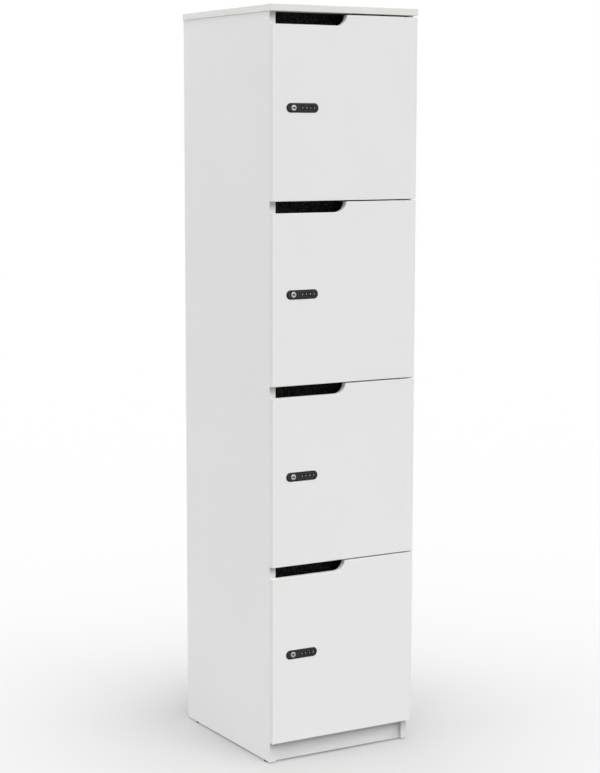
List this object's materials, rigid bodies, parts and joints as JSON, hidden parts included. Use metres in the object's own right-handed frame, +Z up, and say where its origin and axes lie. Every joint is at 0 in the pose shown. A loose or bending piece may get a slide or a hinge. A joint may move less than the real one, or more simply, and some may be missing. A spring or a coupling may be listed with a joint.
{
  "type": "four-door locker",
  "caption": "Tall white locker with stacked overlay doors, a grip cut-out at each door's upper left, a flush combination lock and concealed hinges.",
  "frame": {"origin": "on the floor, under the middle of the overall box (the top panel's middle in X)", "axes": "+Z up, -Y out of the doors' front, +X to the hinge side, which is on the right seen from the front"},
  "size_m": [0.4, 0.45, 1.8],
  "materials": {
    "white_board": "chipboard with a matt white melamine coating, very fine pearl texture",
    "white_edge": "1 mm plastic edge band, satin white",
    "black_board": "chipboard with a matt black melamine coating",
    "back_board": "thin fibreboard, lacquered white",
    "lock_plastic": "black moulded plastic, finely textured",
    "lock_metal": "satin nickel-plated zinc",
    "wheel_plastic": "black moulded plastic with light figures",
    "nickel_steel": "nickel-plated pressed steel",
    "zinc_steel": "zinc-plated bent steel",
    "glide_plastic": "black plastic",
    "buffer": "clear soft plastic"
  },
  "bodies": {
    "carcass": {"left_side_panel": "white_board", "right_side_panel": "white_board", "top_panel": "white_board", "base_panel": "white_board", "shelf_1": "white_board", "shelf_2": "white_board", "shelf_3": "white_board", "plinth_board": "white_board", "back_panel": "back_board", "carcass_edge_bands": "white_edge", "finger_rails": "black_board", "hinge_arms": "nickel_steel", "hinge_plates": "nickel_steel", "strike_plates": "zinc_steel", "glides": "glide_plastic", "door_buffers": "buffer"},
    "door_1": {"door_1_panel": "white_board", "door_1_edge_band": "white_edge", "door_1_hinge_cups": "nickel_steel", "door_1_lock_housing": "lock_plastic", "door_1_lock_cover": "lock_plastic"},
    "hinge_links_1": {"door_1_hinge_links": "nickel_steel"},
    "lock_spindle_1": {"door_1_lock_spindle": "lock_metal"},
    "wheel_1_1": {"door_1_wheel_1": "wheel_plastic"},
    "wheel_1_2": {"door_1_wheel_2": "wheel_plastic"},
    "wheel_1_3": {"door_1_wheel_3": "wheel_plastic"},
    "wheel_1_4": {"door_1_wheel_4": "wheel_plastic"},
    "door_2": {"door_2_panel": "white_board", "door_2_edge_band": "white_edge", "door_2_hinge_cups": "nickel_steel", "door_2_lock_housing": "lock_plastic", "door_2_lock_cover": "lock_plastic"},
    "hinge_links_2": {"door_2_hinge_links": "nickel_steel"},
    "lock_spindle_2": {"door_2_lock_spindle": "lock_metal"},
    "wheel_2_1": {"door_2_wheel_1": "wheel_plastic"},
    "wheel_2_2": {"door_2_wheel_2": "wheel_plastic"},
    "wheel_2_3": {"door_2_wheel_3": "wheel_plastic"},
    "wheel_2_4": {"door_2_wheel_4": "wheel_plastic"},
    "door_3": {"door_3_panel": "white_board", "door_3_edge_band": "white_edge", "door_3_hinge_cups": "nickel_steel", "door_3_lock_housing": "lock_plastic", "door_3_lock_cover": "lock_plastic"},
    "hinge_links_3": {"door_3_hinge_links": "nickel_steel"},
    "lock_spindle_3": {"door_3_lock_spindle": "lock_metal"},
    "wheel_3_1": {"door_3_wheel_1": "wheel_plastic"},
    "wheel_3_2": {"door_3_wheel_2": "wheel_plastic"},
    "wheel_3_3": {"door_3_wheel_3": "wheel_plastic"},
    "wheel_3_4": {"door_3_wheel_4": "wheel_plastic"},
    "door_4": {"door_4_panel": "white_board", "door_4_edge_band": "white_edge", "door_4_hinge_cups": "nickel_steel", "door_4_lock_housing": "lock_plastic", "door_4_lock_cover": "lock_plastic"},
    "hinge_links_4": {"door_4_hinge_links": "nickel_steel"},
    "lock_spindle_4": {"door_4_lock_spindle": "lock_metal"},
    "wheel_4_1": {"door_4_wheel_1": "wheel_plastic"},
    "wheel_4_2": {"door_4_wheel_2": "wheel_plastic"},
    "wheel_4_3": {"door_4_wheel_3": "wheel_plastic"},
    "wheel_4_4": {"door_4_wheel_4": "wheel_plastic"}
  },
  "joints": [
    {"name": "door_1_hinge_arm_pivot", "type": "hinge", "parent": "carcass", "child": "hinge_links_1", "pos_m": [0.166, -0.2108, 1.56537], "axis": [0, 0, 1], "range_deg": [-22, 0]},
    {"name": "door_1_hinge_cup_pivot", "type": "hinge", "parent": "hinge_links_1", "child": "door_1", "pos_m": [0.1905, -0.2128, 1.56537], "axis": [0, 0, 1], "range_deg": [0, 122]},
    {"name": "door_1_lock_turn", "type": "hinge", "parent": "door_1", "child": "lock_spindle_1", "pos_m": [-0.1426, -0.2228, 1.56537], "axis": [0, 1, 0], "range_deg": [0, 90]},
    {"name": "door_1_wheel_1_turn", "type": "hinge", "parent": "door_1", "child": "wheel_1_1", "pos_m": [-0.1184, -0.2163, 1.56537], "axis": [1, 0, 0], "continuous": true},
    {"name": "door_1_wheel_2_turn", "type": "hinge", "parent": "door_1", "child": "wheel_1_2", "pos_m": [-0.1078, -0.2163, 1.56537], "axis": [1, 0, 0], "continuous": true},
    {"name": "door_1_wheel_3_turn", "type": "hinge", "parent": "door_1", "child": "wheel_1_3", "pos_m": [-0.0972, -0.2163, 1.56537], "axis": [1, 0, 0], "continuous": true},
    {"name": "door_1_wheel_4_turn", "type": "hinge", "parent": "door_1", "child": "wheel_1_4", "pos_m": [-0.0866, -0.2163, 1.56537], "axis": [1, 0, 0], "continuous": true},
    {"name": "door_2_hinge_arm_pivot", "type": "hinge", "parent": "carcass", "child": "hinge_links_2", "pos_m": [0.166, -0.2108, 1.13312], "axis": [0, 0, 1], "range_deg": [-22, 0]},
    {"name": "door_2_hinge_cup_pivot", "type": "hinge", "parent": "hinge_links_2", "child": "door_2", "pos_m": [0.1905, -0.2128, 1.13312], "axis": [0, 0, 1], "range_deg": [0, 122]},
    {"name": "door_2_lock_turn", "type": "hinge", "parent": "door_2", "child": "lock_spindle_2", "pos_m": [-0.1426, -0.2228, 1.13312], "axis": [0, 1, 0], "range_deg": [0, 90]},
    {"name": "door_2_wheel_1_turn", "type": "hinge", "parent": "door_2", "child": "wheel_2_1", "pos_m": [-0.1184, -0.2163, 1.13312], "axis": [1, 0, 0], "continuous": true},
    {"name": "door_2_wheel_2_turn", "type": "hinge", "parent": "door_2", "child": "wheel_2_2", "pos_m": [-0.1078, -0.2163, 1.13312], "axis": [1, 0, 0], "continuous": true},
    {"name": "door_2_wheel_3_turn", "type": "hinge", "parent": "door_2", "child": "wheel_2_3", "pos_m": [-0.0972, -0.2163, 1.13312], "axis": [1, 0, 0], "continuous": true},
    {"name": "door_2_wheel_4_turn", "type": "hinge", "parent": "door_2", "child": "wheel_2_4", "pos_m": [-0.0866, -0.2163, 1.13312], "axis": [1, 0, 0], "continuous": true},
    {"name": "door_3_hinge_arm_pivot", "type": "hinge", "parent": "carcass", "child": "hinge_links_3", "pos_m": [0.166, -0.2108, 0.70088], "axis": [0, 0, 1], "range_deg": [-22, 0]},
    {"name": "door_3_hinge_cup_pivot", "type": "hinge", "parent": "hinge_links_3", "child": "door_3", "pos_m": [0.1905, -0.2128, 0.70088], "axis": [0, 0, 1], "range_deg": [0, 122]},
    {"name": "door_3_lock_turn", "type": "hinge", "parent": "door_3", "child": "lock_spindle_3", "pos_m": [-0.1426, -0.2228, 0.70088], "axis": [0, 1, 0], "range_deg": [0, 90]},
    {"name": "door_3_wheel_1_turn", "type": "hinge", "parent": "door_3", "child": "wheel_3_1", "pos_m": [-0.1184, -0.2163, 0.70088], "axis": [1, 0, 0], "continuous": true},
    {"name": "door_3_wheel_2_turn", "type": "hinge", "parent": "door_3", "child": "wheel_3_2", "pos_m": [-0.1078, -0.2163, 0.70088], "axis": [1, 0, 0], "continuous": true},
    {"name": "door_3_wheel_3_turn", "type": "hinge", "parent": "door_3", "child": "wheel_3_3", "pos_m": [-0.0972, -0.2163, 0.70088], "axis": [1, 0, 0], "continuous": true},
    {"name": "door_3_wheel_4_turn", "type": "hinge", "parent": "door_3", "child": "wheel_3_4", "pos_m": [-0.0866, -0.2163, 0.70088], "axis": [1, 0, 0], "continuous": true},
    {"name": "door_4_hinge_arm_pivot", "type": "hinge", "parent": "carcass", "child": "hinge_links_4", "pos_m": [0.166, -0.2108, 0.26863], "axis": [0, 0, 1], "range_deg": [-22, 0]},
    {"name": "door_4_hinge_cup_pivot", "type": "hinge", "parent": "hinge_links_4", "child": "door_4", "pos_m": [0.1905, -0.2128, 0.26863], "axis": [0, 0, 1], "range_deg": [0, 122]},
    {"name": "door_4_lock_turn", "type": "hinge", "parent": "door_4", "child": "lock_spindle_4", "pos_m": [-0.1426, -0.2228, 0.26863], "axis": [0, 1, 0], "range_deg": [0, 90]},
    {"name": "door_4_wheel_1_turn", "type": "hinge", "parent": "door_4", "child": "wheel_4_1", "pos_m": [-0.1184, -0.2163, 0.26863], "axis": [1, 0, 0], "continuous": true},
    {"name": "door_4_wheel_2_turn", "type": "hinge", "parent": "door_4", "child": "wheel_4_2", "pos_m": [-0.1078, -0.2163, 0.26863], "axis": [1, 0, 0], "continuous": true},
    {"name": "door_4_wheel_3_turn", "type": "hinge", "parent": "door_4", "child": "wheel_4_3", "pos_m": [-0.0972, -0.2163, 0.26863], "axis": [1, 0, 0], "continuous": true},
    {"name": "door_4_wheel_4_turn", "type": "hinge", "parent": "door_4", "child": "wheel_4_4", "pos_m": [-0.0866, -0.2163, 0.26863], "axis": [1, 0, 0], "continuous": true}
  ],
  "couplings": [
    {"joint": "door_1_hinge_arm_pivot", "follows": "door_1_hinge_cup_pivot", "ratio": -0.18},
    {"joint": "door_2_hinge_arm_pivot", "follows": "door_2_hinge_cup_pivot", "ratio": -0.18},
    {"joint": "door_3_hinge_arm_pivot", "follows": "door_3_hinge_cup_pivot", "ratio": -0.18},
    {"joint": "door_4_hinge_arm_pivot", "follows": "door_4_hinge_cup_pivot", "ratio": -0.18}
  ]
}
